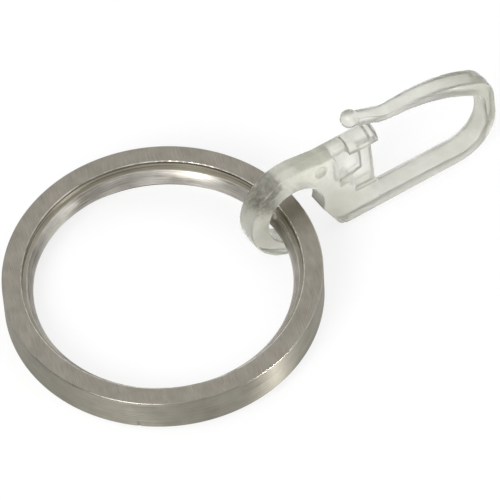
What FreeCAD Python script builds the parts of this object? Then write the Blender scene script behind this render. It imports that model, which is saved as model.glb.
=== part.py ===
import FreeCAD, Part

import os

import Sketcher

# A curtain ring for a round pole, with a clear plastic hook looped round it.
#
# Frame: millimetres, +Z up, the table is z = 0. The hook points along +X and
# stands on its edge near the plane y = 0. The -Y side of the hook is called
# near, the +Y side far. Its jaw lies under the ring, so the ring leans: its
# far rim and the jaw are what touch the table.
#
# The ring is one turned metal ring. The hook is one moulding: a split loop
# that snaps over the ring, a body with a recess each side, and an open bow
# that ends in a ball above the body. The hook's sizes run from the centre of
# its loop.

Vector = FreeCAD.Vector

sizes = [
    # the metal ring
    ("ring_outer", 40.0, "outer diameter"),
    ("ring_height", 4.8, "height of the band, along the pole"),
    ("face_bore", 35.0, "inner diameter of the flat faces"),
    ("rib_shoulder", 33.9, "diameter where the inner rib starts"),
    ("rib_crest", 32.4, "clear bore, over the crown of the rib"),
    ("rib_setback", 1.0, "how far the rib sits below each face"),
    ("ring_break", 0.12, "broken sharp edges of the ring"),
    # how the hook hangs on the ring
    ("loop_play", 0.4148, "between the loop's bore and the ring's lower inner edge"),
    ("hang_angle", 62.88, "degrees below level, from the loop's centre to that edge"),
    ("ring_aside", 0.38, "the ring's axis lies this far beside the loop's centre"),
    ("hook_roll", 6.0, "degrees that the hook leans back, to its far side"),
    # the loop
    ("strap_width", 3.0, "width of the loop, body and bars"),
    ("loop_bore", 4.1, "inner radius of the loop"),
    ("loop_radius", 6.72, "outer radius of the loop at its edges"),
    ("loop_ahead", 0.12, "outer circle's centre, ahead of the inner one"),
    ("loop_lift", 0.5, "outer circle's centre, above the inner one"),
    ("loop_ridge", 0.08, "moulding ridge round the middle of the loop"),
    ("top_ridge", 0.38, "moulding ridge along the body's top"),
    ("shoulder_angle", 80.0, "degrees round the loop where its top bar leaves it"),
    ("jaw_top_reach", 1.6, "top of the jaw's end face, ahead of the loop's centre"),
    ("jaw_top_drop", 2.46, "the same, below and clear of the jaw"),
    ("jaw_low_reach", 2.5, "foot of the jaw's end face, ahead"),
    ("mouth_reach", 3.8, "body's corner at the mouth, ahead"),
    ("mouth_drop", 1.4, "the same corner, below"),
    # the body
    ("top_rise", 6.58, "edge of the body's top"),
    ("top_start", 4.7, "where the top levels out, ahead"),
    ("heel_reach", 6.3, "lower corner of the body, ahead"),
    ("heel_round", 1.2, "rounding of that corner"),
    ("bar_drop", 6.15, "underside of the lower bar, below"),
    ("recess_start", 6.65, "recess wall, ahead"),
    ("recess_lip", 0.55, "how far that wall curls back at the top"),
    ("recess_run", 2.0, "how far the near recess is cut above the body's top"),
    ("lip_top", 0.275, "top of the curl, below the body's top"),
    ("lip_foot", 1.65, "foot of the curl, below the body's top"),
    ("lip_curve", 4.0, "radius of the curl"),
    ("floor_start_rise", 0.85, "low end of the recess floor"),
    ("floor_end", 10.25, "high end of the recess floor, ahead"),
    ("floor_end_rise", 1.74, "high end of the recess floor"),
    ("web_end", 12.0, "end of the web, ahead"),
    ("web_thick", 1.1, "thickness of the web"),
    ("step_start", 8.7, "start of the shallow step under the recess, ahead"),
    ("step_drop", 1.25, "lower end of that step, below"),
    ("step_rise", 0.3, "height of the step off the web"),
    ("far_recess_gap", 0.7, "solid left between the far recess and the cap"),
    ("cap_start", 8.4, "start of the rounded cap, ahead"),
    ("cap_end", 12.7, "end of the rounded cap, ahead"),
    ("cap_seat", 5.53, "flat underside of the cap"),
    ("cap_side", 0.56, "height of the cap's straight sides"),
    ("cap_overhang", 0.1, "how far the cap stands out each side"),
    ("cap_crown", 1.632, "radius of the cap's round top"),
    ("pin_mark_radius", 0.85, "ejector mark on the body's near side"),
    ("pin_mark_ahead", 4.1, "ejector mark, ahead"),
    ("pin_mark_rise", 5.2, "ejector mark, above"),
    ("pin_mark_depth", 0.15, "depth of the ejector mark"),
    # the bow
    ("bar_thick", 2.15, "thickness of the lower bar where it leaves the body"),
    ("bend_thick", 1.9, "thickness of the bar at the lower bend"),
    ("bow_wall", 1.75, "thickness of the bow at its outermost point"),
    ("bar_ridge", 0.15, "how far its edges fall away from the middle"),
    ("bow_reach", 30.2, "outermost point of the bow, ahead"),
    ("bow_low_radius", 6.1, "outer radius of the bow's lower bend"),
    ("bow_top_radius", 3.8, "outer radius of the bow's upper bend"),
    ("bow_top_rise", 2.75, "centre of the upper bend, outside"),
    ("bow_top_sweep", 68.0, "degrees of the upper bend"),
    ("inner_low_radius", 4.3, "inner radius of the lower bend"),
    ("inner_top_radius", 2.65, "inner radius of the upper bend"),
    ("inner_top_rise", 1.8, "centre of the upper bend, inside"),
    ("arm_curve", 21.0, "radius of the arm's upper side"),
    ("arm_crest_reach", 17.8, "end of that curve, ahead"),
    ("arm_crest_rise", 8.67, "end of that curve, above"),
    ("arm_dip_reach", 15.2, "start of the lift to the ball, ahead"),
    ("arm_dip_rise", 8.64, "start of the lift, above"),
    ("arm_lift_reach", 13.8, "end of the lift's bend, ahead"),
    ("arm_lift_rise", 9.1, "end of the lift's bend, above"),
    ("arm_lift_curve", 4.0, "radius of the lift's bend"),
    ("arm_under_reach", 15.0, "lowest point of the arm's underside, ahead"),
    ("arm_under_rise", 7.55, "lowest point of the underside, above"),
    ("arm_under_curve", 21.0, "radius of the underside towards the bend"),
    ("arm_tip_curve", 11.0, "radius of the underside towards the ball"),
    ("arm_end_thick", 1.25, "thickness of the arm at the ball"),
    ("arm_end_width", 1.6, "width of the arm at the ball"),
    ("ball_radius", 1.2, "ball on the end of the arm"),
    ("ball_reach", 9.76, "ball's centre, ahead"),
    ("ball_rise", 10.17, "ball's centre, above"),
    # how far blanks and cuts run past the surface that they meet
    ("overlap", 1.0, "run-on of blanks and cuts"),
]

doc = FreeCAD.newDocument("curtain_ring")
sheet = doc.addObject("Spreadsheet::Sheet", "sizes")
for row, (name, number, meaning) in enumerate(sizes, start=1):
    sheet.set(f"A{row}", name)
    sheet.set(f"B{row}", str(number))
    sheet.set(f"C{row}", meaning)
    sheet.setAlias(f"B{row}", name)
doc.recompute()


def bound(text):
    """Write an expression in sheet names as FreeCAD reads it."""
    return text.replace("$", "sizes.")


def worked(text):
    """The same expression's number, for a sketch's first guess."""
    return sheet.evalExpression(bound(text)) if "$" in text else float(text)


def origin_plane(body, role):
    return next(f for f in body.Origin.OriginFeatures if f.Role == role)


def new_sketch(body, name, role="XZ_Plane", lift=None):
    sketch = body.newObject("Sketcher::SketchObject", name)
    sketch.AttachmentSupport = [(origin_plane(body, role), "")]
    sketch.MapMode = "FlatFace"
    if lift:
        sketch.setExpression("AttachmentOffset.Base.z", bound(lift))
    doc.recompute()
    return sketch


def place(sketch, geometry, point, across, up):
    """Hold a point of the sketch at two expressions, from its origin."""
    for kind, text in (("DistanceX", across), ("DistanceY", up)):
        number = sketch.addConstraint(
            Sketcher.Constraint(kind, -1, 1, geometry, point, worked(text)))
        if "$" in text:
            sketch.setExpression(f"Constraints[{number}]", bound(text))


def outline(sketch, corners):
    """A closed outline. Each corner is (across, up) or (across, up, radius).

    A radius makes the side that ends at the corner an arc: positive turns
    to the left, negative to the right."""
    spots = [Vector(worked(c[0]), worked(c[1]), 0) for c in corners]
    count = len(corners)
    for i in range(count):
        start, end = spots[i], spots[(i + 1) % count]
        ending = corners[(i + 1) % count]
        if len(ending) == 2:
            sketch.addGeometry(Part.LineSegment(start, end))
        else:
            radius = worked(ending[2].lstrip("-"))
            turn = -1 if ending[2].startswith("-") else 1
            chord = end - start
            half = chord.Length / 2
            side = Vector(-chord.y, chord.x, 0).normalize() * turn
            depth = max(radius ** 2 - half ** 2, 0) ** 0.5
            middle = (start + end) * 0.5 - side * (radius - depth)
            sketch.addGeometry(Part.Arc(start, middle, end))
    ends = []
    for i in range(count):
        forward = sketch.getPoint(i, 1).distanceToPoint(spots[i]) < 1e-6
        ends.append((1, 2) if forward else (2, 1))
    for i in range(count):
        place(sketch, i, ends[i][0], corners[i][0], corners[i][1])
        following = (i + 1) % count
        sketch.addConstraint(
            Sketcher.Constraint("Coincident", i, ends[i][1], following, ends[following][0]))
        ending = corners[following]
        if len(ending) == 3:
            text = ending[2].lstrip("-")
            number = sketch.addConstraint(Sketcher.Constraint("Radius", i, worked(text)))
            if "$" in text:
                sketch.setExpression(f"Constraints[{number}]", bound(text))


def circle(sketch, across, up, radius):
    centre = Vector(worked(across), worked(up), 0)
    number = sketch.addGeometry(Part.Circle(centre, Vector(0, 0, 1), worked(radius)))
    place(sketch, number, 3, across, up)
    held = sketch.addConstraint(Sketcher.Constraint("Radius", number, worked(radius)))
    if "$" in radius:
        sketch.setExpression(f"Constraints[{held}]", bound(radius))


def pad(body, sketch, name, length, midplane=True):
    feature = body.newObject("PartDesign::Pad", name)
    feature.Profile = sketch
    feature.Midplane = midplane
    feature.setExpression("Length", bound(length))
    doc.recompute()
    return feature


def ridged(body, name, corners_at):
    """A bar with a ridge along its middle: outlines on its near face, middle
    and far face, joined by straight sides."""
    half = "$strap_width / 2"
    outlines = []
    for place_name, lift, middle in (("near", half, False), ("middle", None, True),
                                     ("far", f"-{half}", False)):
        sketch = new_sketch(body, f"{name}_{place_name}", "XZ_Plane", lift)
        outline(sketch, corners_at(middle))
        outlines.append(sketch)
    loft = body.newObject("PartDesign::AdditiveLoft", name)
    loft.Profile = outlines[0]
    loft.Sections = outlines[1:]
    loft.Ruled = True
    doc.recompute()
    return loft


def pocket(body, sketch, name, length=None, midplane=False, flip=False):
    feature = body.newObject("PartDesign::Pocket", name)
    feature.Profile = sketch
    feature.Midplane = midplane
    feature.Reversed = flip
    if length:
        feature.setExpression("Length", bound(length))
    else:
        feature.Type = "ThroughAll"
    doc.recompute()
    return feature


def turned_ring():
    """One turned ring: a flat-sided band with a crowned rib round its bore."""
    body = doc.addObject("PartDesign::Body", "ring")
    sketch = new_sketch(body, "ring_section")
    edge = "$ring_outer / 2"
    face = "$face_bore / 2"
    rib = "$rib_shoulder / 2"
    top = "$ring_height"
    crown = "($rib_shoulder - $rib_crest) / 2"
    half = "($ring_height / 2 - $rib_setback)"
    crown_radius = f"({half} ^ 2 + ({crown}) ^ 2) / (2 * {crown})"
    outline(sketch, [
        (face, "0"),
        (f"{edge} - $ring_break", "0"),
        (edge, "$ring_break"),
        (edge, f"{top} - $ring_break"),
        (f"{edge} - $ring_break", top),
        (face, top),
        (face, f"{top} - $rib_setback"),
        (rib, f"{top} - $rib_setback"),
        (rib, "$rib_setback", crown_radius),
        (face, "$rib_setback"),
    ])
    turn = body.newObject("PartDesign::Revolution", "turned_ring")
    turn.Profile = sketch
    turn.ReferenceAxis = (sketch, ["V_Axis"])
    turn.Angle = 360
    doc.recompute()
    return body


def bow_corners(middle):
    """Lower bar, two bends and the thin arm, as far as the ball."""
    edge = "0" if middle else "$bar_ridge"
    low = f"($bow_low_radius - {edge})"
    high = f"($bow_top_radius - {edge})"
    bend = "($bow_reach - $bow_low_radius)"
    low_rise = "($bow_low_radius - $bar_drop)"
    top_centre = "($bow_reach - $bow_top_radius)"
    sweep = "($bow_top_sweep * 1 deg)"
    start = "($recess_start + $overlap)"
    # inside, the two bends have centres of their own
    inner_low = f"($inner_low_radius + {edge})"
    inner_high = f"($inner_top_radius + {edge})"
    inner_reach = f"($bow_reach - $bow_wall + {edge})"
    low_centre = "($bow_reach - $bow_wall - $inner_low_radius)"
    low_centre_rise = "($bend_thick - $bar_drop + $inner_low_radius)"
    high_centre = "($bow_reach - $bow_wall - $inner_top_radius)"
    return [
        (start, f"{edge} - $bar_drop"),
        (bend, f"{edge} - $bar_drop"),
        (f"$bow_reach - {edge}", low_rise, low),
        (f"$bow_reach - {edge}", "$bow_top_rise"),
        (f"{top_centre} + {high} * cos({sweep})",
         f"$bow_top_rise + {high} * sin({sweep})", high),
        ("$arm_crest_reach", f"$arm_crest_rise - {edge}", "$arm_curve"),
        ("$arm_dip_reach", f"$arm_dip_rise - {edge}"),
        ("$arm_lift_reach", f"$arm_lift_rise - {edge}", "-$arm_lift_curve"),
        ("$ball_reach", f"$ball_rise + $arm_end_thick / 2 - {edge}"),
        ("$ball_reach", f"$ball_rise - $arm_end_thick / 2 + {edge}"),
        ("$arm_under_reach", f"$arm_under_rise + {edge}", "$arm_tip_curve"),
        (f"{high_centre} + {inner_high} * cos({sweep})",
         f"$inner_top_rise + {inner_high} * sin({sweep})", "-$arm_under_curve"),
        (inner_reach, "$inner_top_rise", f"-{inner_high}"),
        (inner_reach, low_centre_rise),
        (low_centre, f"$bend_thick - $bar_drop - {edge}", f"-{inner_low}"),
        (start, f"$bar_thick - $bar_drop - {edge}"),
    ]


def bow(body):
    """The open bow, narrowing towards the ball on both sides."""
    ridged(body, "bow_bar", bow_corners)
    half = "$strap_width / 2"
    top_centre = "($bow_reach - $bow_top_radius)"
    past_ball = "($ball_reach - $overlap)"
    for name, sign in (("near", "-"), ("far", "")):
        sketch = new_sketch(body, f"arm_{name}", "XY_Plane", "$bow_top_rise")
        outline(sketch, [
            (top_centre, f"{sign}({half})"),
            (top_centre, f"{sign}({half} + $overlap)"),
            (past_ball, f"{sign}({half} + $overlap)"),
            (past_ball, f"{sign}($arm_end_width / 2)"),
        ])
        pocket(body, sketch, f"arm_{name}_taper", flip=True)


def body_corners(middle):
    """The body from the loop's shoulder to the end of the web."""
    edge = "0" if middle else "$bar_ridge"
    top = "($top_rise + $top_ridge)" if middle else "$top_rise"
    rim = "($loop_radius + $loop_ridge)" if middle else "$loop_radius"
    shoulder = "($shoulder_angle * 1 deg)"
    lower = f"{edge} - $bar_drop"
    return [
        ("$mouth_reach - $overlap / 2", "0"),
        ("$mouth_reach - $overlap / 2", lower),
        ("$web_end", lower),
        ("$web_end", top),
        ("$top_start", top),
        (f"$loop_ahead + {rim} * cos({shoulder})", f"$loop_lift + {rim} * sin({shoulder})"),
        ("$loop_ahead", "0"),
    ]


def loop_disc(body):
    """The loop's blank, turned about its own axis with the ridge round its rim."""
    half = "$strap_width / 2"
    sketch = new_sketch(body, "loop_section", "YZ_Plane", "$loop_ahead")
    sketch.setExpression("AttachmentOffset.Base.y", bound("$loop_lift"))
    doc.recompute()
    outline(sketch, [
        (f"-{half}", "0"),
        (half, "0"),
        (half, "$loop_radius"),
        ("0", "$loop_radius + $loop_ridge"),
        (f"-{half}", "$loop_radius"),
    ])
    turn = body.newObject("PartDesign::Revolution", "loop_disc")
    turn.Profile = sketch
    turn.ReferenceAxis = (sketch, ["H_Axis"])
    turn.Angle = 360
    doc.recompute()


def mouth(body):
    """The gap between the jaw's tip and the body's slanted edge, and the
    rounding of the heel at that edge's foot."""
    slant = "atan(($bar_drop - $mouth_drop) / ($heel_reach - $mouth_reach))"
    back = f"($heel_round * tan({slant} / 2))"
    below = "-$bar_drop - $overlap"
    sketch = new_sketch(body, "mouth_outline")
    outline(sketch, [
        ("$jaw_top_reach", "-$jaw_top_drop"),
        ("$jaw_low_reach", below),
        (f"$heel_reach + {back}", below),
        (f"$heel_reach + {back}", "-$bar_drop"),
        (f"$heel_reach - {back} * cos({slant})", f"{back} * sin({slant}) - $bar_drop",
         "-$heel_round"),
        ("$mouth_reach", "-$mouth_drop"),
        ("$mouth_reach - $overlap", "-$mouth_drop"),
    ])
    pocket(body, sketch, "mouth", midplane=True)


def side_recess(body):
    """A recess each side leaves a thin web, a step thicker at its end. The near
    recess is open at the top."""
    depth = "($strap_width - $web_thick) / 2"
    past_end = "$web_end + $overlap"
    for name, sign in (("near", ""), ("far", "-")):
        lift = f"{sign}$strap_width / 2"
        if name == "near":
            above = "$top_rise + $recess_run"
            wall_top = [
                ("$recess_start - $recess_lip", above),
                ("$recess_start - $recess_lip", "$top_rise - $lip_top"),
                ("$recess_start", "$top_rise - $lip_foot", "-$lip_curve"),
            ]
        else:
            above = "$cap_seat - $far_recess_gap"
            wall_top = [("$recess_start", above)]
        sketch = new_sketch(body, f"recess_{name}", "XZ_Plane", lift)
        outline(sketch, [
            ("$recess_start", "$floor_start_rise"),
            ("$floor_end", "$floor_end_rise"),
            ("$floor_end", above),
            *wall_top,
        ])
        pocket(body, sketch, f"recess_{name}_cut", depth, flip=name == "far")

        sketch = new_sketch(body, f"step_{name}", "XZ_Plane", lift)
        outline(sketch, [
            ("$step_start", "-$step_drop"),
            (past_end, "-$step_drop"),
            (past_end, above),
            ("$step_start", above),
        ])
        pocket(body, sketch, f"step_{name}_cut", f"{depth} - $step_rise", flip=name == "far")


def rounded_cap(body):
    """The half-round cap over the end of the web."""
    half = "($strap_width / 2 + $cap_overhang)"
    sketch = new_sketch(body, "cap_section", "YZ_Plane", "$cap_start")
    outline(sketch, [
        (f"-{half}", "$cap_seat"),
        (half, "$cap_seat"),
        (half, "$cap_seat + $cap_side"),
        (f"-{half}", "$cap_seat + $cap_side", "$cap_crown"),
    ])
    pad(body, sketch, "cap", "$cap_end - $cap_start", midplane=False)


def moulded_hook():
    """One clear moulding: split loop, recessed body and open bow."""
    body = doc.addObject("PartDesign::Body", "hook")
    bow(body)
    ridged(body, "body_block", body_corners)
    loop_disc(body)

    sketch = new_sketch(body, "loop_hole")
    circle(sketch, "0", "0", "$loop_bore")
    pocket(body, sketch, "loop_bore", midplane=True)
    mouth(body)
    side_recess(body)
    rounded_cap(body)

    ball = body.newObject("PartDesign::AdditiveSphere", "ball")
    ball.AttachmentSupport = [(origin_plane(body, "XY_Plane"), "")]
    ball.MapMode = "FlatFace"
    ball.setExpression("AttachmentOffset.Base.x", bound("$ball_reach"))
    ball.setExpression("AttachmentOffset.Base.z", bound("$ball_rise"))
    ball.setExpression("Radius", bound("$ball_radius"))
    doc.recompute()

    sketch = new_sketch(body, "pin_mark_outline", "XZ_Plane", "$strap_width / 2")
    circle(sketch, "$pin_mark_ahead", "$pin_mark_rise", "$pin_mark_radius")
    pocket(body, sketch, "pin_mark", "$pin_mark_depth")
    return body


def hang(ring, hook):
    """Lean both pieces so that the ring's far rim and the jaw touch the table."""
    roll = "($hook_roll * 1 deg)"
    # the loop's centre, out from the ring's axis and above the ring's lower face
    held = "($loop_bore - $loop_play)"
    on_ring = f"($face_bore / 2 + {held} * cos($hang_angle * 1 deg))"
    over_base = f"({held} * sin($hang_angle * 1 deg))"
    across = f"({on_ring} + $loop_ahead + $ring_outer / 2 - $ring_break)"
    above = f"({over_base} + $loop_lift * cos({roll}))"
    # the loop rests on its ridge, or on its far edge where it leans back enough
    ridge_reach = f"($loop_radius + $loop_ridge) * cos({roll})"
    edge_reach = f"$loop_radius * cos({roll}) + $strap_width / 2 * sin({roll})"
    reach = f"max({ridge_reach}; {edge_reach})"
    lean = f"(asin({reach} / hypot({across}; {above})) - atan({above} / {across}))"
    far_rim = "($ring_outer / 2 - $ring_break)"
    top_corner = "($ring_height - $ring_break)"
    left = f"(-$ring_outer / 2 * cos({lean}) - {top_corner} * sin({lean}))"
    bend_across = f"({on_ring} + $bow_reach - $bow_low_radius)"
    bend_above = f"({over_base} + ($bow_low_radius - $bar_drop) * cos({roll}))"
    right = f"({bend_across} * cos({lean}) - {bend_above} * sin({lean}) + $bow_low_radius)"
    shift = f"(({left} + {right}) / 2)"
    leaning = f"rotation(vector(0; -1; 0); {lean})"
    rolled = f"{leaning} * rotation(vector(-1; 0; 0); {roll})"
    spots = (
        (ring, "0", "0", "0", leaning),
        (hook, on_ring, "$ring_aside", over_base, rolled),
    )
    for body, ahead, aside, above_base, turned in spots:
        x = f"{ahead} * cos({lean}) - {above_base} * sin({lean}) - {shift}"
        z = f"({far_rim} + {ahead}) * sin({lean}) + {above_base} * cos({lean})"
        body.setExpression(
            "Placement", bound(f"placement(vector({x}; {aside}; {z}); {turned})"))


hang(turned_ring(), moulded_hook())
doc.recompute()

os.makedirs("parts", exist_ok=True)
bodies = [item for item in doc.Objects if item.TypeId == "PartDesign::Body"]
for item in doc.Objects:
    if "Invalid" in item.State or "Error" in item.State:
        raise RuntimeError(f"{item.Name} failed: {item.State}")
for body in bodies:
    shape = body.Shape
    if shape.isNull() or not shape.isValid() or len(shape.Solids) != 1:
        raise RuntimeError(f"{body.Label} isn't one valid solid: {len(shape.Solids)}")
    print(body.Label, round(shape.Volume, 2), body.Placement, shape.BoundBox)
    shape.exportStep(f"parts/{body.Label}.step")
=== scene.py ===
import math

import bmesh
import bpy
from mathutils import Euler, Matrix, Vector, noise


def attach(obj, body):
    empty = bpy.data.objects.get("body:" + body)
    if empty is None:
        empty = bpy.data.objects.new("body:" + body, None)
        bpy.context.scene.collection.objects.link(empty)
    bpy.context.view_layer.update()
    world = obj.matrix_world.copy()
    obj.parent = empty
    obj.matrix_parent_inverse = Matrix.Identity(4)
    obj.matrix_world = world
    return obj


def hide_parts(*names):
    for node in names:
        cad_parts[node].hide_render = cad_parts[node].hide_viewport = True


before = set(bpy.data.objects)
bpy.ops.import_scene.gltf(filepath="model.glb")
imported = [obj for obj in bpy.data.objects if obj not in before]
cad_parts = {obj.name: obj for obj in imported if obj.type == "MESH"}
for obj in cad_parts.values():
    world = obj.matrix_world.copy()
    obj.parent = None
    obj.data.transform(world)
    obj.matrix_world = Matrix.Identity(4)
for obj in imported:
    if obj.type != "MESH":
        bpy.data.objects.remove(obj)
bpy.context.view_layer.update()        # ring and hook, packed from the CAD, in metres

scene = bpy.context.scene
scene.view_settings.view_transform = "Standard"
mm = 0.001

# where the two pieces lie on the table
ringPlace = {
    "centre": (-0.0143437, 0.0, 0.00155993),       # middle of the ring's lower face
    "lean": 4.5005,                                # degrees, hook side up
    "roll": 0.0,
}
hookPlace = {
    "centre": (0.00451969, 0.00038, 0.00633484),   # middle of the hook's loop
    "lean": 4.5005,
    "roll": 6.0,                                   # degrees that the hook leans back
}


def tilted(place):
    # a piece's lean and roll on the table, as turns about X, Y and Z
    return Euler((-math.radians(place["roll"]), -math.radians(place["lean"]), 0))


def placed(place):
    # takes a piece from its own frame to where it lies
    return Matrix.Translation(place["centre"]) @ tilted(place).to_matrix().to_4x4()


# the photo's camera, in the ring's own frame
photoCamera = {
    "turn": 29.8,              # the hook's direction, round from the picture's right
    "tilt": 53.06,             # line of sight below the ring's face
    "roll": 3.71,
    "distance": 0.720,         # metres to the point that it aims at
    "aim": (0.01103, 0.00628, 0.0),
    "pixelsPerMm": 7.977,      # at that distance
    "frame": 500,              # pixels across the photo
    "sensor": 36,
    "clip": (0.01, 20),
}


def makeCamera():
    c = photoCamera
    tilt, roll = math.radians(c["tilt"]), math.radians(c["roll"])
    forward = Vector((0, math.cos(tilt), -math.sin(tilt)))
    right = Vector((1, 0, 0))
    up = Vector((0, math.sin(tilt), math.cos(tilt)))
    across = right * math.cos(roll) - up * math.sin(roll)
    upright = right * math.sin(roll) + up * math.cos(roll)
    place = Vector(c["aim"]) - forward * c["distance"]
    axes = Matrix((across, upright, -forward)).transposed().to_4x4()
    turned = Matrix.Rotation(-math.radians(c["turn"]), 4, "Z")
    data = bpy.data.cameras.new("photoCamera")
    data.sensor_width = c["sensor"]
    data.lens = c["pixelsPerMm"] / mm * c["distance"] / c["frame"] * c["sensor"]
    data.clip_start, data.clip_end = c["clip"]
    camera = bpy.data.objects.new("photoCamera", data)
    scene.collection.objects.link(camera)
    camera.matrix_world = placed(ringPlace) @ turned @ Matrix.Translation(place) @ axes
    scene.camera = camera


makeCamera()
print("camera ready")

# stretches of the noise, which keeps near its middle, that colours and roughness are spread over
narrowSpan = (0.35, 0.65)
middleSpan = (0.3, 0.7)
wideSpan = (0.25, 0.75)


def newMaterial(name):
    material = bpy.data.materials.new(name)
    material.use_nodes = True
    tree = material.node_tree
    tree.nodes.clear()
    output = tree.nodes.new("ShaderNodeOutputMaterial")
    return material, tree, output


def addNode(tree, kind, inputs=(), **settings):
    node = tree.nodes.new("ShaderNode" + kind)
    for key, value in settings.items():
        setattr(node, key, value)
    for key, value in dict(inputs).items():
        if isinstance(value, bpy.types.NodeSocket):
            tree.links.new(value, node.inputs[key])
        else:
            node.inputs[key].default_value = value
    return node


def ownFrame(tree, place):
    # coordinates of a piece as it was made, before it was laid on the table
    spot = addNode(tree, "TexCoord").outputs["Object"]
    return addNode(tree, "Mapping", {
        "Vector": spot, "Location": place["centre"], "Rotation": tilted(place)},
        vector_type="TEXTURE").outputs[0]


def speckles(tree, source, scale, detail=3, rough=0.5):
    return addNode(tree, "TexNoise", {
        "Vector": source, "Scale": scale, "Detail": detail, "Roughness": rough}).outputs["Fac"]


def streaks(tree, source, turn, along, across):
    # noise drawn out into fine lines: marks per metre along and across them
    turned = addNode(tree, "VectorRotate", {
        "Vector": source, "Angle": -math.radians(turn)}, rotation_type="Z_AXIS").outputs[0]
    drawn = addNode(tree, "Mapping", {
        "Vector": turned, "Scale": (along, across, across)}).outputs[0]
    return speckles(tree, drawn, 1.0, detail=4, rough=0.6)


def ramp(tree, source, low, high, span):
    node = addNode(tree, "ValToRGB", {"Fac": source})
    for stop, place, colour in zip(node.color_ramp.elements, span, (low, high)):
        stop.position = place
        stop.color = (*colour, 1)
    return node.outputs["Color"]


def spread(tree, source, span, result, shape="LINEAR"):
    return addNode(tree, "MapRange", {
        "Value": source, "From Min": span[0], "From Max": span[1],
        "To Min": result[0], "To Max": result[1]}, interpolation_type=shape).outputs["Result"]


def mixed(tree, share, first, second, kind="FLOAT"):
    return addNode(tree, "Mix", {
        "Factor": share, "A": first, "B": second}, data_type=kind).outputs["Result"]


def worked(tree, sort, first, second, **settings):
    return addNode(tree, "Math", {0: first, 1: second}, operation=sort, **settings).outputs[0]


# finishes of the ring: one for each way its surface was worked
# lines per metre along and across, blotches per metre, and how much of the colour they make
metalFinish = {
    "brushedFace": {
        "dark": (0.25, 0.231, 0.196), "light": (0.42, 0.389, 0.335), "rough": (0.30, 0.46),
        "turn": 71.5, "along": 420, "across": 15000, "bump": 0.12,
        "blotch": 420, "blotchShare": 0.3},
    "brushedSide": {
        "dark": (0.20, 0.190, 0.156), "light": (0.345, 0.327, 0.275), "rough": (0.40, 0.54),
        "along": 130, "across": 8000, "bump": 0.10,
        "blotch": 420, "blotchShare": 0.3, "stretch": 0.85},
    "turnedBore": {
        "dark": (0.16, 0.143, 0.117), "light": (0.72, 0.695, 0.64), "rough": (0.32, 0.48),
        "along": 160, "across": 12000, "bump": 0.20,
        "blotch": 170, "blotchShare": 0.45, "stretch": 0.9},
    "dullLedge": {
        "dark": (0.25, 0.232, 0.180), "light": (0.42, 0.392, 0.325), "rough": (0.30, 0.42),
        "along": 100, "across": 14000, "bump": 0.12,
        "blotch": 300, "blotchShare": 0.3, "stretch": 0.5},
    "brightEdge": {
        "dark": (0.26, 0.242, 0.205), "light": (0.78, 0.75, 0.68), "rough": (0.14, 0.26),
        "along": 900, "across": 900, "bump": 0.3,
        "blotch": 130, "blotchShare": 0.6},
    "wornEdge": {
        "dark": (0.16, 0.150, 0.124), "light": (0.52, 0.49, 0.43), "rough": (0.24, 0.36),
        "along": 300, "across": 300, "bump": 0.2,
        "blotch": 60, "blotchShare": 0.7},
    # painted shade: the recessed wall under the burr lip is coloured near black for the shade that
    # falls under it
    "paintedShadeUnderLip": {
        "dark": (0.03, 0.027, 0.02), "light": (0.22, 0.20, 0.16), "rough": (0.45, 0.60),
        "along": 120, "across": 6000, "bump": 0.1,
        "blotch": 90, "blotchShare": 0.7},
}
scratchDepth = 0.03            # mm that the lines stand for at a bump of 1
quarterTurn = 0.25


def metal(name):
    f = metalFinish[name]
    material, tree, output = newMaterial(name)
    place = ownFrame(tree, ringPlace)
    # a face is brushed in one direction, and the rest is worked round and round
    source = place if "turn" in f else addNode(tree, "UVMap", uv_map="turning").outputs["UV"]
    lines = streaks(tree, source, f.get("turn", 0), f["along"], f["across"])
    both = mixed(tree, f["blotchShare"], lines, speckles(tree, place, f["blotch"]))
    bump = addNode(tree, "Bump", {
        "Strength": f["bump"], "Distance": scratchDepth * mm, "Height": lines})
    shader = addNode(tree, "BsdfPrincipled", {
        "Base Color": ramp(tree, both, f["dark"], f["light"], narrowSpan),
        "Metallic": 1.0,
        "Roughness": spread(tree, lines, wideSpan, f["rough"]),
        "Normal": bump.outputs["Normal"]})
    if "stretch" in f:
        # lines turned round the ring draw its highlights out along the axis
        around = addNode(tree, "Tangent", direction_type="UV_MAP", uv_map="turning")
        shader.inputs["Anisotropic"].default_value = f["stretch"]
        shader.inputs["Anisotropic Rotation"].default_value = quarterTurn
        tree.links.new(around.outputs["Tangent"], shader.inputs["Tangent"])
    tree.links.new(shader.outputs["BSDF"], output.inputs["Surface"])
    return material


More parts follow.
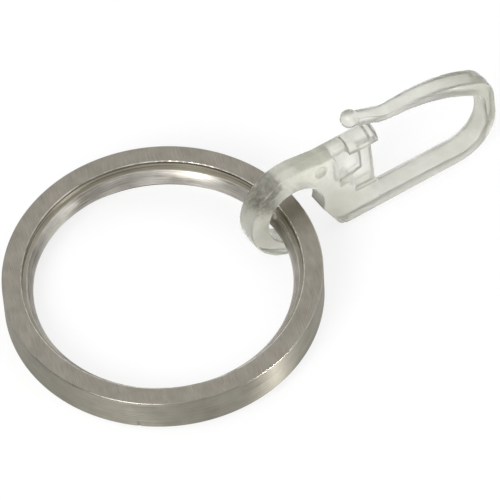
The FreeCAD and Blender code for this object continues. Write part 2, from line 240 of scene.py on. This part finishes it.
# the ring is turned from one closed section, sizes in mm
turnedRing = {
    "outer": 20.0,
    "height": 4.8,
    "faceBore": 17.5,
    "setback": 1.0,            # of the rib, from each face
    "shoulder": 16.95,
    "crest": 16.2,
    "turns": 480,              # steps round the ring
    "sharpAngle": 38,          # degrees between sides, above which an edge stays crisp
    "wallRows": (0.8, 1.4, 1.8),   # rows on the outer wall, up from its middle
    "faceRows": (19.2, 18.6, 18.0),
    "edgeRound": 0.14,
    "edgeSteps": 4,
    "crownDrop": 0.08,         # the rib's crown starts this far below the ledge
    "grooves": 10,             # fine turning marks over the crown
    "grooveDepth": 0.006,
    # points round three corners of the section: out, up, finish, what shapes them
    "innerEdge": (
        (0.16, 0.0, "brightEdge", None),
        (0.07, 0.0, "brightEdge", "lip"),
        # the wall under the lip takes the painted shade, over a small real undercut
        (0.0, -0.05, "paintedShadeUnderLip", "lip"),
        (0.05, -0.10, "paintedShadeUnderLip", None),
        (0.05, -0.34, "paintedShadeUnderLip", None),
        (0.0, -0.42, "dullLedge", None),
    ),
    "ledgeFoot": (
        (0.0, 0.10, "dullLedge", None),
        (-0.03, 0.03, "dullLedge", None),
        (-0.10, 0.0, "dullLedge", None),
    ),
    "ledgeEdge": (
        (0.05, 0.0, "brightEdge", None),
        (-0.01, -0.03, "turnedBore", None),
    ),
    "lipHeight": 0.05,         # raised lip of burr round the inner edge of each face
    "lipSteady": 0.35,         # share of it that is even, the waves add the rest
    "slowWave": {"rate": 9, "layer": 2.0, "share": 0.8},
    "fineWave": {"rate": 60, "layer": 7.0, "share": 0.9},
    "lipLean": 0.25,           # how far the fine waves push it sideways
    "lipBelow": 0.4,           # its height at the lower face, against the upper one
    "nickAt": -131.0,          # degrees round the ring, in its own frame
    "nickWidth": 0.15,
    "nickDepth": 0.14,
    "nickTop": 1.4,            # it reaches from this row of the wall to the lower edge
    "nickSplit": 4,            # fine steps in one step round the ring
    "nickSteps": 6,            # fine steps each side of the nick
    "nickMargin": 2,           # fine steps between them and the next plain one
}


def ringSection():
    # each point: radius, height from the middle, finish of the side that starts here, what shapes it
    r = turnedRing
    half, edge = r["height"] / 2, r["edgeRound"]
    ledge = half - r["setback"]
    upper = []                 # from the middle of the outer wall to the crest, upper half
    for up in (0.0, *r["wallRows"], half - edge):
        upper.append((r["outer"], up, "brushedSide", "nick"))
    for i in range(1, r["edgeSteps"]):
        a = math.pi / 2 * i / r["edgeSteps"]
        across = r["outer"] - edge + edge * math.cos(a)
        upper.append((across, half - edge + edge * math.sin(a), "wornEdge", "nick"))
    for across in (r["outer"] - edge, *r["faceRows"]):
        upper.append((across, half, "brushedFace", None))
    corners = {"innerEdge": (r["faceBore"], half), "ledgeFoot": (r["faceBore"], ledge),
               "ledgeEdge": (r["shoulder"], ledge)}
    for name, (across, up) in corners.items():
        for out, rise, finish, shaper in r[name]:
            upper.append((across + out, up + rise, finish, shaper))
    shoulderUp = ledge - r["crownDrop"]
    bulge = r["shoulder"] - r["crest"]
    crown = (shoulderUp ** 2 + bulge ** 2) / (2 * bulge)
    steps = r["grooves"] * 2
    for i in range(steps):
        up = shoulderUp * (1 - i / steps)
        depth = r["grooveDepth"] if i % 2 else 0.0
        across = r["crest"] + crown - math.sqrt(crown ** 2 - up ** 2) + depth
        upper.append((across, up, "turnedBore", None))
    crest = [(r["crest"], 0.0, "turnedBore", None)]
    lower = []
    for i in range(len(upper) - 1, 0, -1):
        across, up, _, shaper = upper[i]
        lower.append((across, -up, upper[i - 1][2], shaper))
    return upper + crest + lower


def ringAngles(nick):
    # even steps round the ring, with finer ones at the nick
    r = turnedRing
    step = 2 * math.pi / r["turns"]
    fine = step / r["nickSplit"]
    margin = (r["nickSteps"] + r["nickMargin"]) * fine
    even = [i * step for i in range(r["turns"]) if abs(i * step - nick) > margin]
    finer = [nick + i * fine for i in range(-r["nickSteps"], r["nickSteps"] + 1)]
    return sorted(even + finer)


def lipWave(out, wave):
    return noise.noise(Vector((out.x * wave["rate"], out.y * wave["rate"], wave["layer"])))


def ringRow(shape, section, angle, nick):
    # the section's points at one angle, with the lip and the nick worked into them
    r = turnedRing
    out = Vector((math.cos(angle), math.sin(angle), 0))
    slow, fine = lipWave(out, r["slowWave"]), lipWave(out, r["fineWave"])
    waves = r["lipSteady"] + r["slowWave"]["share"] * slow + r["fineWave"]["share"] * fine
    lip = r["lipHeight"] * max(0.0, waves)
    near = (angle - nick) * r["outer"] / r["nickWidth"]
    row = []
    for across, up, _, shaper in section:
        if shaper == "lip":
            up += lip if up > 0 else -lip * r["lipBelow"]
            across += r["lipLean"] * lip * fine
        if shaper == "nick" and up < -r["nickTop"]:
            across -= r["nickDepth"] * math.exp(-near ** 2)
        row.append(shape.verts.new((out * across + Vector((0, 0, up + r["height"] / 2))) * mm))
    return row


def makeRing():
    r = turnedRing
    section = ringSection()
    nick = math.radians(r["nickAt"]) % (2 * math.pi)
    angles = ringAngles(nick)
    finishes = list(metalFinish)
    shape = bmesh.new()
    rows = [ringRow(shape, section, angle, nick) for angle in angles]
    # the map of the turned finishes: way round the ring, and way along the section
    layer = shape.loops.layers.uv.new("turning")
    around = [angle * r["outer"] for angle in angles] + [2 * math.pi * r["outer"]]
    along = [0.0]
    for a, b in zip(section, section[1:] + section[:1]):
        along.append(along[-1] + math.hypot(b[0] - a[0], b[1] - a[1]))
    for i in range(len(angles)):
        j = (i + 1) % len(angles)
        for k in range(len(section)):
            n = (k + 1) % len(section)
            face = shape.faces.new((rows[i][k], rows[j][k], rows[j][n], rows[i][n]))
            face.material_index = finishes.index(section[k][2])
            face.smooth = True
            spots = ((i, k), (i + 1, k), (i + 1, k + 1), (i, k + 1))
            for loop, (u, v) in zip(face.loops, spots):
                loop[layer].uv = (around[u] * mm, along[v] * mm)
    mesh = bpy.data.meshes.new("turnedRing")
    shape.to_mesh(mesh)
    shape.free()
    for name in finishes:
        mesh.materials.append(metal(name))
    mesh.set_sharp_from_angle(angle=math.radians(r["sharpAngle"]))
    mesh.transform(placed(ringPlace))
    ring = bpy.data.objects.new("turnedRing", mesh)
    scene.collection.objects.link(ring)
    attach(ring, "ring")
    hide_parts("ring")


makeRing()
print("ring ready")

tinged = (0.46, 0.46, 0.38)            # plastic where the hook is thick
paintedRingShade = (0.15, 0.142, 0.118)          # painted shade, darker where the ring shows through the plastic

# the hook's moulding follows its CAD solid, with softened edges
mouldedHook = {
    "weld": 0.002,             # mm between points that become one
    "voxel": 0.108,            # mm
    "softening": 4,            # rounds of smoothing, and how far each goes
    "softShare": 0.5,
    "clearest": (0.86, 0.86, 0.82),
    "cloudiest": (0.69, 0.685, 0.63),
    "clouds": 330,             # cloudy patches per metre
    "grain": 1900,             # fine pits of the mould per metre
    "flow": (260, 5200),       # lines left by the flowing plastic: along, across
    "flowShare": 0.5,
    "grainDepth": 0.80,
    "pitDepth": 0.04,          # mm that the grain stands for at a depth of 1
    "milk": 0.18,              # share of light that the plastic scatters
    "haze": 0.04,              # roughness of its moulded skin
    "bending": 1.49,           # refractive index
    "depthColour": (0.62, 0.625, 0.50),
    "depth": 80,               # how fast the plastic darkens with its thickness
    "scatter": 1.6,            # mm that light spreads inside
    "scatterShares": (1.0, 1.0, 0.9),
    # where it set cloudier, and painted shade where the ring shows through it: x and z from the
    # loop's centre and reach in mm, most share of the patch, how much of it is speckles, its colour
    # and milk
    "patches": (
        {"name": "loop", "at": (-3.0, 0.0), "reach": 8.0, "most": 0.62, "speckle": 0.3,
         "tint": (0.42, 0.415, 0.31), "milk": 0.25},
        {"name": "body", "at": (5.0, -3.0), "reach": 8.0, "most": 0.68, "speckle": 0.2,
         "tint": tinged, "milk": 0.25},
        {"name": "top bar", "at": (3.0, 7.2), "reach": 6.0, "most": 0.85, "speckle": 0.2,
         "tint": (0.55, 0.55, 0.46), "milk": 0.70},
        {"name": "recess", "at": (8.4, 2.4), "reach": 3.6, "most": 0.70, "speckle": 0.1,
         "tint": (0.93, 0.93, 0.90), "milk": 0.30},
        {"name": "bend", "at": (28.0, 2.0), "reach": 10.0, "most": 0.70, "speckle": 0.2,
         "tint": tinged, "milk": 0.25},
        # painted shade: dark, speckled patches where the ring shows through the plastic
        {"name": "shaded loop", "at": (-4.4, 4.9), "reach": 3.6, "most": 0.85, "speckle": 0.6,
         "tint": paintedRingShade, "milk": 0.20},
        {"name": "shaded top", "at": (-2.6, 6.6), "reach": 2.6, "most": 0.55, "speckle": 0.6,
         "tint": paintedRingShade, "milk": 0.20},
    ),
    "pinMark": (4.1, 5.2),     # mark of the ejector pin, from the loop's centre
    "pinRadius": 0.95,
    "pinDepth": 0.22,
    "pinSide": -1.2,           # y of the skin that it is pressed into
    "heel": (6.3, -6.15),      # lower corner of the body
    "heelSlant": 62.24,        # degrees from the slanted edge to level
    "heelRound": 1.9,
    "heelCore": 0.6,           # share of that radius inside which nothing moves
}


def patchShare(tree, flat, grain, patch):
    # fades out from the patch's middle and is broken up by the grain
    x, z = patch["at"]
    away = addNode(tree, "VectorMath", {0: flat, 1: (x, 0, z)}, operation="DISTANCE").outputs["Value"]
    share = spread(tree, away, (patch["reach"], 0.0), (0.0, patch["most"]), "SMOOTHSTEP")
    speckled = spread(tree, grain, narrowSpan, (1 - patch["speckle"], 1.0))
    return worked(tree, "MULTIPLY", share, speckled)


def clearPlastic():
    h = mouldedHook
    material, tree, output = newMaterial("clearPlastic")
    place = ownFrame(tree, hookPlace)
    grain = speckles(tree, place, h["grain"], detail=2)
    flow = streaks(tree, place, 0, *h["flow"])
    flat = addNode(tree, "VectorMath", {
        0: place, 1: (1 / mm, 0, 1 / mm)}, operation="MULTIPLY").outputs[0]
    clouds = speckles(tree, place, h["clouds"])
    colour = ramp(tree, clouds, h["cloudiest"], h["clearest"], middleSpan)
    clearness = 1 - h["milk"]
    for patch in h["patches"]:
        share = patchShare(tree, flat, grain, patch)
        colour = mixed(tree, share, colour, (*patch["tint"], 1), "RGBA")
        clearness = mixed(tree, share, clearness, 1 - patch["milk"])
    bump = addNode(tree, "Bump", {
        "Strength": h["grainDepth"], "Distance": h["pitDepth"] * mm,
        "Height": mixed(tree, h["flowShare"], grain, flow)})
    shader = addNode(tree, "BsdfPrincipled", {
        "Base Color": colour,
        "Transmission Weight": clearness,
        "Roughness": h["haze"],
        "IOR": h["bending"],
        "Subsurface Weight": 1.0,
        "Subsurface Radius": h["scatterShares"],
        "Subsurface Scale": h["scatter"] * mm,
        "Normal": bump.outputs["Normal"]})
    inside = addNode(tree, "VolumeAbsorption", {
        "Color": (*h["depthColour"], 1), "Density": h["depth"]})
    tree.links.new(shader.outputs["BSDF"], output.inputs["Surface"])
    tree.links.new(inside.outputs[0], output.inputs["Volume"])
    return material


def rounderHeel(spot):
    # draw the corner in to a larger circle that touches both of its edges
    h = mouldedHook
    slant, bend = math.radians(h["heelSlant"]), h["heelRound"]
    back = bend * math.tan(slant / 2)
    middle = Vector((h["heel"][0] + back, h["heel"][1] + bend))
    away = Vector(spot) - middle
    angle = math.atan2(-away.x, -away.y)
    if not 0 < angle < slant or away.length < h["heelCore"] * bend:
        return spot
    return tuple(middle + away * math.cos(min(angle, slant - angle)))


def refine(mesh):
    # the heel's rounding and the pin's mark, in the hook's own frame
    h = mouldedHook
    for vertex in mesh.vertices:
        x, y, z = vertex.co / mm
        x, z = rounderHeel((x, z))
        if y < h["pinSide"]:
            near = math.hypot(x - h["pinMark"][0], z - h["pinMark"][1]) / h["pinRadius"]
            y += h["pinDepth"] * max(0.0, 1 - near ** 2)
        vertex.co = Vector((x, y, z)) * mm


def makeHook():
    h = mouldedHook
    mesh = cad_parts["hook"].data.copy()
    mesh.name = "mouldedHook"
    mesh.transform(placed(hookPlace).inverted())
    hook = bpy.data.objects.new("mouldedHook", mesh)
    scene.collection.objects.link(hook)
    welded = hook.modifiers.new("weld", "WELD")
    welded.merge_threshold = h["weld"] * mm
    remesh = hook.modifiers.new("remesh", "REMESH")
    remesh.mode = "VOXEL"
    remesh.voxel_size = h["voxel"] * mm
    smooth = hook.modifiers.new("smooth", "SMOOTH")
    smooth.factor = h["softShare"]
    smooth.iterations = h["softening"]
    bpy.context.view_layer.update()
    graph = bpy.context.evaluated_depsgraph_get()
    soft = bpy.data.meshes.new_from_object(hook.evaluated_get(graph))
    hook.modifiers.clear()
    hook.data = soft
    refine(soft)
    soft.transform(placed(hookPlace))
    soft.materials.clear()
    soft.materials.append(clearPlastic())
    for face in soft.polygons:
        face.use_smooth = True
    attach(hook, "hook")
    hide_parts("hook")
    print("hook faces", len(soft.polygons))


makeHook()
print("hook ready")

# floor and light
studio = {
    "floorReach": 3.0,         # metres from the middle to each side
    "floorColour": (0.93, 0.93, 0.93, 1),
    "shadowShare": 0.25,       # how much of the floor's shadow is seen
    "skyColour": (1, 1, 1, 1),
    "sky": (0.28, 0.90),       # the room's light, low down and overhead
    "skyRise": (0.05, 0.65),   # heights between which it brightens
    "behind": (0.03, 1.0),     # the same, for the room as the clear plastic shows it
    "behindRise": (0.1, 0.6),
    "lamps": (
        {"name": "front", "size": 0.5, "power": 7.0, "place": (-0.72, -0.42, 0.62)},
        {"name": "side", "size": 0.10, "power": 6.4, "place": (0.53, -0.85, 0.07)},
    ),
}


def makeFloor():
    s = studio
    mesh = bpy.data.meshes.new("floor")
    shape = bmesh.new()
    bmesh.ops.create_grid(shape, x_segments=1, y_segments=1, size=s["floorReach"])
    shape.to_mesh(mesh)
    shape.free()
    floor = bpy.data.objects.new("floor", mesh)
    scene.collection.objects.link(floor)
    # seen directly, through plastic or in metal it is mostly plain white
    material, tree, output = newMaterial("paleFloor")
    rays = addNode(tree, "LightPath").outputs
    through = worked(tree, "ADD", rays["Is Transmission Ray"], rays["Is Glossy Ray"])
    seen = worked(tree, "ADD", rays["Is Camera Ray"], through, use_clamp=True)
    share = worked(tree, "MULTIPLY", seen, 1 - s["shadowShare"])
    diffuse = addNode(tree, "BsdfDiffuse", {"Color": s["floorColour"]}).outputs[0]
    glow = addNode(tree, "Emission", {"Strength": 1.0}).outputs[0]
    surface = addNode(tree, "MixShader", {0: share, 1: diffuse, 2: glow}).outputs[0]
    tree.links.new(surface, output.inputs["Surface"])
    mesh.materials.append(material)


def makeSky():
    s = studio
    world = bpy.data.worlds.new("studio")
    scene.world = world
    world.use_nodes = True
    tree = world.node_tree
    way = addNode(tree, "TexCoord").outputs["Generated"]
    height = addNode(tree, "SeparateXYZ", {"Vector": way}).outputs["Z"]
    level = spread(tree, height, s["skyRise"], s["sky"], "SMOOTHSTEP")
    behind = spread(tree, height, s["behindRise"], s["behind"], "SMOOTHSTEP")
    through = addNode(tree, "LightPath").outputs["Is Transmission Ray"]
    sky = tree.nodes["Background"]
    sky.inputs["Color"].default_value = s["skyColour"]
    tree.links.new(mixed(tree, through, level, behind), sky.inputs["Strength"])


def makeLamps():
    for lamp in studio["lamps"]:
        light = bpy.data.lights.new(lamp["name"], "AREA")
        light.shape = "DISK"
        light.size = lamp["size"]
        light.energy = lamp["power"]
        lit = bpy.data.objects.new(lamp["name"], light)
        scene.collection.objects.link(lit)
        lit.location = lamp["place"]
        lit.rotation_mode = "QUATERNION"
        lit.rotation_quaternion = (-Vector(lamp["place"])).to_track_quat("-Z", "Y")


makeFloor()
makeSky()
makeLamps()
print("studio ready")
